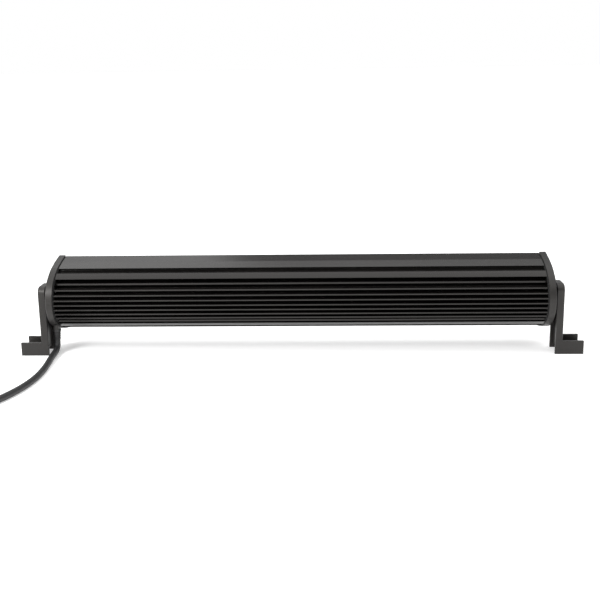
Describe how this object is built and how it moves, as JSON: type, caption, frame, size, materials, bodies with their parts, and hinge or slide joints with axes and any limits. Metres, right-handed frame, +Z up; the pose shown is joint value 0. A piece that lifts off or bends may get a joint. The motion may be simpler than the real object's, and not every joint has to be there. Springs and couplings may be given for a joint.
{
  "type": "led light bar",
  "caption": "Black finned double-row LED light bar standing on two slotted swivel brackets, with end caps, clear front window, reflectors and a short power lead.",
  "frame": {"origin": "bottom centre of the bar without its lead, on the plane that the bracket feet stand on", "axes": "+X along the bar towards the end with the lead, +Y towards the finned rear, +Z up; light leaves along -Y"},
  "size_m": [0.7068, 0.2731, 0.104],
  "materials": {
    "powder_coat": "satin black powder coat",
    "cast_coat": "satin black coat on castings",
    "gasket_rubber": "matte",
    "lens_clear": "clear polycarbonate",
    "stainless": "stainless steel",
    "board_white": "white solder mask",
    "led_yellow": "phosphor",
    "reflector": "bright metallised plastic",
    "board_green": "green solder mask",
    "part_black": "moulded plastic",
    "part_metal": "can",
    "wire_red": "insulation",
    "wire_black": "insulation",
    "cable_jacket": "matte black jacket",
    "nylon": "natural nylon",
    "black_nylon": "black nylon",
    "seal_orange": "silicone",
    "pin_brass": "plated"
  },
  "bodies": {
    "light_body": {"housing": "powder_coat", "end_cap_left": "cast_coat", "end_cap_right": "cast_coat", "cap_gasket_left": "gasket_rubber", "cap_gasket_right": "gasket_rubber", "end_cap_screws_left": "stainless", "end_cap_screws_right": "stainless", "lens_gasket": "gasket_rubber", "front_lens": "lens_clear", "lens_trim_upper": "powder_coat", "lens_trim_lower": "powder_coat", "trim_screws": "stainless", "led_board": "board_white", "led_chips": "led_yellow", "led_board_screws": "stainless", "reflector_upper": "reflector", "reflector_lower": "reflector", "driver_board": "board_green", "driver_coils": "part_black", "driver_capacitors": "part_metal", "driver_chips": "part_black", "supply_wire_red": "wire_red", "supply_wire_black": "wire_black", "breather_vent": "black_nylon", "cable_gland": "black_nylon", "strain_relief": "cable_jacket", "power_cable": "cable_jacket", "cable_coil": "cable_jacket", "cable_tie": "black_nylon", "plug_body": "part_black", "plug_collar": "part_black", "plug_seal": "seal_orange", "plug_pins": "pin_brass", "friction_washer_left": "gasket_rubber", "pivot_washer_left": "stainless", "spring_washer_left": "stainless", "pivot_bolt_left": "stainless", "friction_washer_right": "gasket_rubber", "pivot_washer_right": "stainless", "spring_washer_right": "stainless", "pivot_bolt_right": "stainless"},
    "bracket_left_body": {"bracket_left": "cast_coat", "pivot_bush_left": "nylon"},
    "bracket_right_body": {"bracket_right": "cast_coat", "pivot_bush_right": "nylon"}
  },
  "joints": [
    {"name": "bracket_left_pivot", "type": "hinge", "parent": "light_body", "child": "bracket_left_body", "pos_m": [0.2844, 0.0102, 0.06], "axis": [1, 0, 0], "range_deg": [-180, 180]},
    {"name": "bracket_right_pivot", "type": "hinge", "parent": "light_body", "child": "bracket_right_body", "pos_m": [-0.2844, 0.0102, 0.06], "axis": [1, 0, 0], "range_deg": [-180, 180]}
  ]
}
